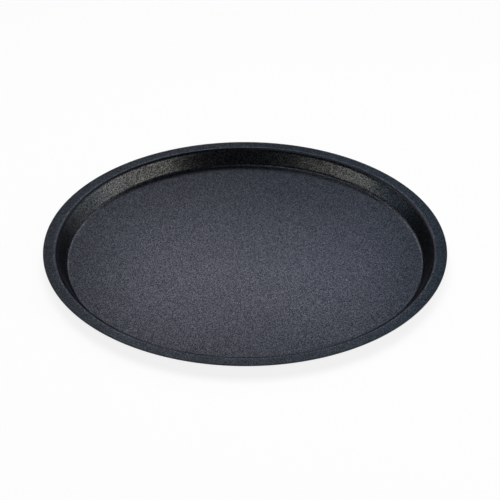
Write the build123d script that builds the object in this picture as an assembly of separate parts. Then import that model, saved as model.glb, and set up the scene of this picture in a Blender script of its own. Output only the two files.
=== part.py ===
"""Round pizza pan: a shallow dish pressed from one disc of sheet steel, with a non-stick coating.

The steel is a flat baking floor, a sloping wall and a flat rim, joined by two bends. The coating
is a thin film on the food side, which ends at the foot of the trimmed rim edge.
Lengths are in millimetres. The pan is round about Z and stands on the plane Z = 0.
"""

import os
from math import atan2, tan

from build123d import *

# Driving sizes of the pressed steel
rim_diameter = 320.0
rim_width = 11.0
wall_run = 6.8
depth = 12.4
sheet_thickness = 0.6
floor_bend_radius = 3.2
rim_bend_radius = 3.5

# Driving size of the coating
coating_thickness = 0.04

# Places on the food side of the steel, at the sharp corners that the bends round off
rim_radius = rim_diameter / 2
rim_corner_radius = rim_radius - rim_width
floor_corner_radius = rim_corner_radius - wall_run
floor_height = sheet_thickness
rim_height = floor_height + depth
wall_slope = atan2(depth, wall_run)


def food_side_line(lift):
    """The food side's outline from the axis to the foot of the rim edge, moved outwards by lift.

    Moving a line by lift moves its sharp corners sideways by lift times the tangent of half the turn.
    """
    shift = lift * tan(wall_slope / 2)
    return FilletPolyline(
        (0, floor_height + lift),
        (floor_corner_radius - shift, floor_height + lift),
        (rim_corner_radius - shift, rim_height + lift),
        (rim_radius + lift, rim_height + lift),
        (rim_radius + lift, rim_height - sheet_thickness),
        radius=[floor_bend_radius - lift, rim_bend_radius + sheet_thickness + lift, 0],
    )


def underside_line():
    """The underside's outline from the axis to the foot of the rim edge, one sheet below the food side."""
    shift = sheet_thickness * tan(wall_slope / 2)
    return FilletPolyline(
        (0, floor_height - sheet_thickness),
        (floor_corner_radius + shift, floor_height - sheet_thickness),
        (rim_corner_radius + shift, rim_height - sheet_thickness),
        (rim_radius, rim_height - sheet_thickness),
        radius=[floor_bend_radius + sheet_thickness, rim_bend_radius],
    )


def turned(inner_line, outer_line):
    """The solid that the strip between two outlines sweeps in a full turn about Z."""
    ends = [Line(inner_line @ end, outer_line @ end) for end in (0, 1) if inner_line @ end != outer_line @ end]
    strip = make_face(Curve() + [inner_line, outer_line] + ends)
    return revolve(Plane.XZ * strip, Axis.Z)


def steel_body():
    """The pressed sheet, the same thickness everywhere."""
    return turned(underside_line(), food_side_line(0))


def nonstick_coating():
    """The film on the food side, wrapped over the trimmed edge of the rim."""
    return turned(food_side_line(0), food_side_line(coating_thickness))


parts = {"steel_body": steel_body(), "nonstick_coating": nonstick_coating()}

os.makedirs("parts", exist_ok=True)
for node, solid in parts.items():
    solid.label = node
    export_step(solid, f"parts/{node}.step")
    print(node, "volume", round(solid.volume, 1), "valid", solid.is_valid, "faces", len(solid.faces()))
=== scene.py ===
"""Looks of a round pizza pan: its two coats, a pale floor, a soft studio and the camera.

Lengths are in metres. The pan is round about Z and stands on the floor, the plane Z = 0.
"""

from math import atan2, cos, pi, radians, sin, tan

import bpy
import numpy as np
from mathutils import Matrix, Vector


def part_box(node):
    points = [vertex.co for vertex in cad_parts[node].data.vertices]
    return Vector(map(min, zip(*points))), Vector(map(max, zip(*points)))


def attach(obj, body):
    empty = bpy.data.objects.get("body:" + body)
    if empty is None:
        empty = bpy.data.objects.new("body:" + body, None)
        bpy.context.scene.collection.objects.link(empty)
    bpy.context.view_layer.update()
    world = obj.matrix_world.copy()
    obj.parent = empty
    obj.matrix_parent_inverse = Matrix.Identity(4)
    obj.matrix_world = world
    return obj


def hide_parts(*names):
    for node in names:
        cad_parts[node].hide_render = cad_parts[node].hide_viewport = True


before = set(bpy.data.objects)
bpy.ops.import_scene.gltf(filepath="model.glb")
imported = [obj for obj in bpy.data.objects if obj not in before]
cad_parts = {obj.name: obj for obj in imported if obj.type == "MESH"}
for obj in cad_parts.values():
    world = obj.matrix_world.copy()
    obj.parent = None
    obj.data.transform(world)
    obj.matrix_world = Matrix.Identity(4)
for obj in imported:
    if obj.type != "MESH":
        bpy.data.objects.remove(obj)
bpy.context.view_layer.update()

mm = 0.001

# The pressed sheet's own sizes. The frame gives the rest
rim_width = 11.0 * mm
wall_run = 6.8 * mm
sheet_thickness = 0.6 * mm
floor_bend_radius = 3.2 * mm
rim_bend_radius = 3.5 * mm
edge_rounding = 0.1 * mm

steel_low, steel_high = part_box("steel_body")
coating_low, coating_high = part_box("nonstick_coating")
rim_radius = steel_high.x
rim_height = steel_high.z
floor_height = steel_low.z + sheet_thickness
coating_thickness = coating_high.z - steel_high.z

rim_corner_radius = rim_radius - rim_width
floor_corner_radius = rim_corner_radius - wall_run
wall_slope = atan2(rim_height - floor_height, wall_run)
rim_flat_start = rim_corner_radius + (rim_bend_radius + sheet_thickness) * tan(wall_slope / 2)

# Where the flakes change along the rim, as distances outwards from the start of its flat. The painted
# shade of the bend and the painted highlight of the ring where the flat begins each start, are full,
# start to fade and are gone there
rim_reach = np.array([0, 0.8]) * mm
bend_shade_reach = np.array([-2.7, -1.9, -0.9, -0.2]) * mm
crest_highlight_reach = np.array([-0.4, -0.1, 0.8, 1.2]) * mm
# The painted shade on the trimmed edge, as distances inwards from the rim's outline
edge_shade_reach = np.array([1.0, 0.4]) * mm

# Both coats: a plain resin's index of refraction, and the food side's roughness
resin_ior = 1.5
satin_roughness = 0.276

# Fineness of the turned meshes
turns = 640
arc_step = radians(4)
guard_width = 0.25 * mm
crease_angle = radians(50)

# The camera, which stands in front of the pan, on the side of -Y
camera_elevation = radians(33.6)
camera_distance = 1600 * mm
camera_roll = radians(0.18)
aim_right = 3.88 * mm
aim_up = -4.38 * mm
sensor_width = 36 * mm
frame_pixels = 500
pixels_per_radius = 201.4
lens_length = pixels_per_radius / rim_radius * camera_distance * sensor_width / frame_pixels


def rounded_outline(corners, radii):
    """Points along straight lines through the corners, with each inner corner rounded to its radius.

    An arc of radius R that turns by A starts R tan(A / 2) before its corner, and its points are
    centre + R (cos t, sin t) at even steps of t. Each straight line keeps a point close to its ends,
    so that the shading of a bend doesn't run on into the flat beside it.
    """
    corners = np.array(corners, float)
    runs = np.diff(corners, axis=0)
    ways = runs / np.linalg.norm(runs, axis=1)[:, None]
    pieces = [corners[:1]]
    for corner, before, after, radius in zip(corners[1:-1], ways[:-1], ways[1:], radii):
        turn = atan2(before[0] * after[1] - before[1] * after[0], before @ after)
        reach = radius * tan(abs(turn) / 2)
        side = np.array([-before[1], before[0]]) * (1 if turn > 0 else -1)
        centre = corner - before * reach + side * radius
        steps = max(2, int(np.ceil(abs(turn) / arc_step)))
        start = atan2(-side[1], -side[0])
        angles = start + turn * np.linspace(0, 1, steps + 1)
        arc = centre + radius * np.stack([np.cos(angles), np.sin(angles)], axis=1)
        pieces += [arc[:1] - before * guard_width, arc, arc[-1:] + after * guard_width]
    pieces.append(corners[-1:])
    return np.concatenate(pieces)


def food_side_line(lift):
    """The food side from the axis to the foot of the rim edge, moved outwards by lift."""
    shift = lift * tan(wall_slope / 2)
    return rounded_outline(
        [
            (0, floor_height + lift),
            (floor_corner_radius - shift, floor_height + lift),
            (rim_corner_radius - shift, rim_height + lift),
            (rim_radius + lift, rim_height + lift),
            (rim_radius + lift, rim_height - sheet_thickness),
        ],
        [
            floor_bend_radius - lift,
            rim_bend_radius + sheet_thickness + lift,
            edge_rounding + lift,
        ],
    )


def underside_line():
    """The underside from the axis to the foot of the rim edge, one sheet below the food side."""
    shift = sheet_thickness * tan(wall_slope / 2)
    return rounded_outline(
        [
            (0, floor_height - sheet_thickness),
            (floor_corner_radius + shift, floor_height - sheet_thickness),
            (rim_corner_radius + shift, rim_height - sheet_thickness),
            (rim_radius, rim_height - sheet_thickness),
        ],
        [floor_bend_radius + sheet_thickness, rim_bend_radius],
    )


def turned_mesh(name, lower_line, upper_line):
    """The closed skin that two outlines, a lower and an upper one, sweep in a full turn about Z.

    The two lines are joined at the rim edge into one outline from the axis out and back. The vertex of
    its point (r, z) at the angle a is (r cos a, r sin a, z), and each end on the axis is a single pole.
    """
    seam = upper_line[-2::-1] if np.allclose(lower_line[-1], upper_line[-1]) else upper_line[::-1]
    outline = np.concatenate([lower_line, seam])
    radius, height = outline[1:-1].T
    angles = np.arange(turns) * 2 * pi / turns
    rings = np.stack(
        [
            radius[:, None] * np.cos(angles),
            radius[:, None] * np.sin(angles),
            np.repeat(height[:, None], turns, axis=1),
        ],
        axis=-1,
    )
    poles = np.array([[0, 0, outline[0, 1]], [0, 0, outline[-1, 1]]])
    points = np.concatenate([rings.reshape(-1, 3), poles])
    here = np.arange(radius.size * turns).reshape(-1, turns)
    next_over = np.roll(here, -1, axis=1)
    quads = np.stack([here[:-1], next_over[:-1], next_over[1:], here[1:]], axis=-1).reshape(-1, 4)
    first_pole = np.full(turns, here.size)
    last_pole = first_pole + 1
    first_fan = np.stack([first_pole, next_over[0], here[0]], axis=-1)
    last_fan = np.stack([last_pole, here[-1], next_over[-1]], axis=-1)
    mesh = bpy.data.meshes.new(name)
    mesh.from_pydata(points.tolist(), [], first_fan.tolist() + quads.tolist() + last_fan.tolist())
    mesh.shade_smooth()
    mesh.set_sharp_from_angle(angle=crease_angle)
    return mesh


class Wire:
    """One output of a node. Python's operators on it add Math nodes, so that 1 - mask works."""

    def __init__(self, tree, socket):
        self.tree = tree
        self.socket = socket

    def maths(self, operation, *values):
        return self.tree.node("Math", {"operation": operation}, dict(enumerate(values)))

    def __add__(self, other):
        return self.maths("ADD", self, other)

    def __rsub__(self, other):
        return self.maths("SUBTRACT", other, self)

    def __mul__(self, other):
        return self.maths("MULTIPLY", self, other)

    __radd__ = __add__
    __rmul__ = __mul__

    def rising(self, start, end):
        """0 below start, 1 above end and a smooth step between them."""
        settings = {"interpolation_type": "SMOOTHSTEP"}
        return self.tree.node("MapRange", settings, {"Value": self, "From Min": start, "From Max": end})

    def between(self, start, full, fading, end):
        """1 from full to fading, 0 before start and above end, and smooth steps between them."""
        return self.rising(start, full) * (1 - self.rising(fading, end))


class Tree:
    """The node tree of a material or of the world."""

    def __init__(self, owner):
        owner.use_nodes = True
        self.tree = owner.node_tree
        self.tree.nodes.clear()

    def node(self, kind, settings=None, sockets=None, output=0):
        """Adds a node, with its settings first and then its sockets, and gives one output."""
        made = self.tree.nodes.new("ShaderNode" + kind)
        for setting, value in (settings or {}).items():
            setattr(made, setting, value)
        for socket, value in (sockets or {}).items():
            if isinstance(value, Wire):
                self.tree.links.new(value.socket, made.inputs[socket])
            else:
                made.inputs[socket].default_value = value
        return Wire(self, made.outputs[output]) if made.outputs else None

    def mixed(self, factor, first, second):
        """The colour that goes from first to second as the factor goes from 0 to 1."""
        return self.node("Mix", {"data_type": "RGBA"}, {0: factor, 6: first, 7: second}, output=2)

    def place(self):
        """The point of the surface, in metres."""
        return self.node("TexCoord", output="Object")

    def from_axis(self):
        """The distance of the surface's point from the pan's axis, in metres."""
        flat = self.node("VectorMath", {"operation": "MULTIPLY"}, {0: self.place(), 1: (1, 1, 0)})
        return self.node("VectorMath", {"operation": "LENGTH"}, {0: flat}, output="Value")

    def noise(self, size, detail=2.0, roughness=0.5):
        """A cloud-like pattern from 0 to 1 whose blotches are about as wide as the size."""
        sockets = {"Vector": self.place(), "Scale": 1 / size, "Detail": detail, "Roughness": roughness}
        return self.node("TexNoise", None, sockets)

    def flecks(self, size, share, softness=0.01):
        """1 in a share of the little cells that fill space, each as wide as the size, and 0 in the rest."""
        cells = self.node("TexVoronoi", None, {"Vector": self.place(), "Scale": 1 / size}, output="Color")
        chance = self.node("SeparateXYZ", None, {0: cells}, output="X")
        return chance.rising(1 - share - softness, 1 - share + softness)

    def relief(self, height, distance):
        """The surface's direction where a pattern of heights stands out by the distance."""
        return self.node("Bump", None, {"Strength": 1.0, "Distance": distance, "Height": height})


def nonstick_finish():
    """Satin anthracite coating: a near black binder full of fine metal flakes, with a faint orange peel.

    The flakes are a little darker and bluer on the flat of the rim. Their colour also carries a painted
    highlight on a ring where the flat begins, and painted shade on the rim's bend and its trimmed edge.
    """
    binder = (0.0006, 0.0013, 0.0028, 1)
    floor_flakes = (0.27, 0.27, 0.27, 1)
    rim_flakes = (0.20, 0.227, 0.233, 1)
    # A painted highlight: lighter flakes for the ring where the rim's flat begins
    crest_highlight_flakes = (0.30, 0.32, 0.335, 1)
    # Painted shade: dark flakes for the rim's bend and its trimmed edge
    painted_shade_flakes = (0.045, 0.045, 0.05, 1)

    material = bpy.data.materials.new("nonstick_coating")
    tree = Tree(material)
    flake = tree.flecks(0.38 * mm, share=0.30)
    out = tree.from_axis()
    rim = out.rising(*(rim_flat_start + rim_reach))
    # Painted shade along the rim's bend
    bend_shade = out.between(*(rim_flat_start + bend_shade_reach))
    # Painted highlight along the ring where the rim's flat begins
    crest_highlight = out.between(*(rim_flat_start + crest_highlight_reach))
    # Painted shade along the trimmed edge
    edge = out.rising(*(rim_radius - edge_shade_reach))
    metal = tree.mixed(rim, floor_flakes, rim_flakes)
    # The painted highlight goes into the flakes' colour
    metal = tree.mixed(crest_highlight, metal, crest_highlight_flakes)
    # The painted shade of the bend and the edge goes into the flakes' colour
    metal = tree.mixed(bend_shade + edge, metal, painted_shade_flakes)
    peel = tree.noise(1.1 * mm, detail=2.0, roughness=0.6)
    shader = tree.node(
        "BsdfPrincipled",
        None,
        {
            "Base Color": tree.mixed(flake, binder, metal),
            "Metallic": flake,
            "Roughness": satin_roughness,
            "IOR": resin_ior,
            "Normal": tree.relief(peel, 0.006 * mm),
        },
    )
    tree.node("OutputMaterial", None, {"Surface": shader})
    return material


def back_coat_finish():
    """Thin black back coat on the steel: speckled, unevenly sprayed, with an orange peel of its own."""
    thick_spray = (0.008, 0.008, 0.009, 1)
    thin_spray = (0.024, 0.024, 0.026, 1)
    speck_colour = (0.12, 0.12, 0.125, 1)

    material = bpy.data.materials.new("coated_steel")
    tree = Tree(material)
    mist = tree.noise(28 * mm, detail=3.0).rising(0.35, 0.65)
    speck = tree.flecks(0.7 * mm, share=0.18, softness=0.02)
    peel = tree.noise(2.2 * mm, detail=2.0)
    ground = tree.mixed(mist, thick_spray, thin_spray)
    shader = tree.node(
        "BsdfPrincipled",
        None,
        {
            "Base Color": tree.mixed(speck, ground, speck_colour),
            "Roughness": 0.30 + 0.12 * mist,
            "IOR": resin_ior,
            "Normal": tree.relief(peel, 0.03 * mm),
        },
    )
    tree.node("OutputMaterial", None, {"Surface": shader})
    return material


def pan_piece(name, lower_line, upper_line, material, node):
    """One turned piece of the pan, which rides on the body and stands for its CAD node."""
    piece = bpy.data.objects.new(name, turned_mesh(name, lower_line, upper_line))
    piece.data.materials.append(material)
    bpy.context.scene.collection.objects.link(piece)
    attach(piece, "root")
    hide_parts(node)
    return piece


def seen_directly(tree):
    """Three wires, each 1 for the rays of the camera, of mirror reflections or of glass."""
    return (
        tree.node("LightPath", output="Is Camera Ray"),
        tree.node("LightPath", output="Is Glossy Ray"),
        tree.node("LightPath", output="Is Transmission Ray"),
    )


def pale_floor():
    """A pale floor that keeps the pan's shadow, and can be seen through from below.

    Rays that see it directly get mostly plain white, and the rest, with the shadow, from the lit paper.
    """
    half_width = 12.0
    white_share = 0.85
    paper_colour = (0.95, 0.95, 0.95, 1)
    corners = [(-half_width, -half_width, 0), (half_width, -half_width, 0)]
    corners += [(half_width, half_width, 0), (-half_width, half_width, 0)]
    mesh = bpy.data.meshes.new("floor")
    mesh.from_pydata(corners, [], [(0, 1, 2, 3)])
    floor = bpy.data.objects.new("floor", mesh)
    bpy.context.scene.collection.objects.link(floor)

    material = bpy.data.materials.new("pale_floor")
    tree = Tree(material)
    camera, glossy, glass = seen_directly(tree)
    paper = tree.node("BsdfDiffuse", None, {"Color": paper_colour})
    white = tree.node("Emission", None, {"Color": (1, 1, 1, 1), "Strength": 1.0})
    direct = (camera + glossy + glass) * white_share
    lit = tree.node("MixShader", None, {0: direct, 1: paper, 2: white})
    clear = tree.node("BsdfTransparent")
    below = tree.node("NewGeometry", output="Backfacing")
    surface = tree.node("MixShader", None, {0: below, 1: lit, 2: clear})
    tree.node("OutputMaterial", None, {"Surface": surface})
    mesh.materials.append(material)


def studio_world():
    """White where the camera looks past the floor, and a dim studio for the light and the reflections.

    Mirror reflections see the white only below the horizon, as a sweep that darkens straight down.
    """
    studio_dark = (0.010, 0.010, 0.013, 1)
    darkest_below = 0.25

    world = bpy.data.worlds.new("studio")
    bpy.context.scene.world = world
    tree = Tree(world)
    direction = tree.node("TexCoord", output="Generated")
    up = tree.node("SeparateXYZ", None, {0: direction}, output="Z")
    camera, glossy, glass = seen_directly(tree)
    below_horizon = 1 - up.rising(0.0, 0.03)
    sweep = below_horizon * (darkest_below + (1 - darkest_below) * up.rising(-0.9, -0.1))
    backdrop = camera + (glossy + glass) * sweep
    colour = tree.mixed(backdrop, studio_dark, (1, 1, 1, 1))
    light = tree.node("Background", None, {"Color": colour, "Strength": 1.0})
    tree.node("OutputWorld", None, {"Surface": light})


def softbox(name, azimuth, elevation, distance, width, height, level, mirrored=True):
    """A soft rectangular lamp that faces the pan, whose light has the given level, where 1 is white.

    It stands at the distance from the pan's middle, azimuth degrees round to the right from behind the
    pan and elevation degrees up. Lengths are in millimetres.
    """
    across, up = radians(azimuth), radians(elevation)
    place = Vector((cos(up) * sin(across), cos(up) * cos(across), sin(up))) * distance * mm
    lamp = bpy.data.lights.new(name, "AREA")
    lamp.shape = "RECTANGLE"
    lamp.size = width * mm
    lamp.size_y = height * mm
    # the radiance of an area lamp is its power / (pi * area)
    lamp.energy = pi * lamp.size * lamp.size_y
    lamp.color = level
    stand = bpy.data.objects.new(name, lamp)
    stand.location = place
    stand.rotation_euler = (-place).to_track_quat("-Z", "Y").to_euler()
    stand.visible_camera = False
    stand.visible_glossy = mirrored
    bpy.context.scene.collection.objects.link(stand)


def photo_camera():
    """The camera: a long lens at the photograph's elevation, slightly rolled and aimed off centre."""
    away = Vector((0, -cos(camera_elevation), sin(camera_elevation)))
    turn = (-away).to_track_quat("-Z", "Y").to_matrix()
    right, up = turn.col[0], turn.col[1]
    rim_centre = Vector((0, 0, rim_height))
    camera = bpy.data.cameras.new("camera")
    camera.sensor_width = sensor_width / mm
    camera.lens = lens_length / mm
    stand = bpy.data.objects.new("camera", camera)
    place = rim_centre + away * camera_distance + right * aim_right + up * aim_up
    rolled = turn @ Matrix.Rotation(camera_roll, 3, "Z")
    stand.matrix_world = Matrix.Translation(place) @ rolled.to_4x4()
    bpy.context.scene.collection.objects.link(stand)
    bpy.context.scene.camera = stand


photo_camera()
pale_floor()
studio_world()
bpy.context.scene.view_settings.view_transform = "Standard"

# Mirrored by the floor and the flat of the rim in the photograph's view
softbox("rear_key", 0, 37, 685, 303, 33, (2.38, 2.24, 2.66))
softbox("rear_strip", 0, 35, 1486, 587, 78, (1.27, 1.62, 2.22))
softbox("left_glow", -17, 36, 926, 538, 295, (0.130, 0.105, 0.090))
softbox("right_glow", 18, 36, 926, 260, 295, (0.065, 0.078, 0.092))
# Mirrored by the bends
softbox("top_panel", -30, 67, 1500, 360, 600, (0.80, 0.92, 1.10))
# Mirrored by the wall, at the left rear and at the right rear
softbox("right_panel", 101, 31, 880, 875, 582, (0.93, 0.91, 0.87))
softbox("right_rear_panel", 73, 13, 1400, 1190, 720, (0.38, 0.43, 0.48))
softbox("left_panel", -89, 13, 656, 847, 103, (0.26, 0.35, 0.45))
softbox("left_front_panel", -122, 7, 1400, 1270, 400, (3.85, 3.90, 3.60))
# For other views
softbox("left_wing", -52, 42, 1400, 1200, 560, (0.26, 0.29, 0.34))
softbox("right_wing", 52, 44, 1400, 1100, 560, (0.24, 0.27, 0.31))
softbox("front_fill", 180, 3, 1500, 1500, 150, (0.35, 0.35, 0.38))
# The plain level of the studio's light, which reflections don't show
softbox("top_fill", 0, 90, 1600, 1200, 1200, (5.0, 5.0, 5.0), mirrored=False)

pan_piece(
    "steel_shell", underside_line(), food_side_line(0), back_coat_finish(), "steel_body"
)
pan_piece(
    "coating_skin",
    food_side_line(0),
    food_side_line(coating_thickness),
    nonstick_finish(),
    "nonstick_coating",
)
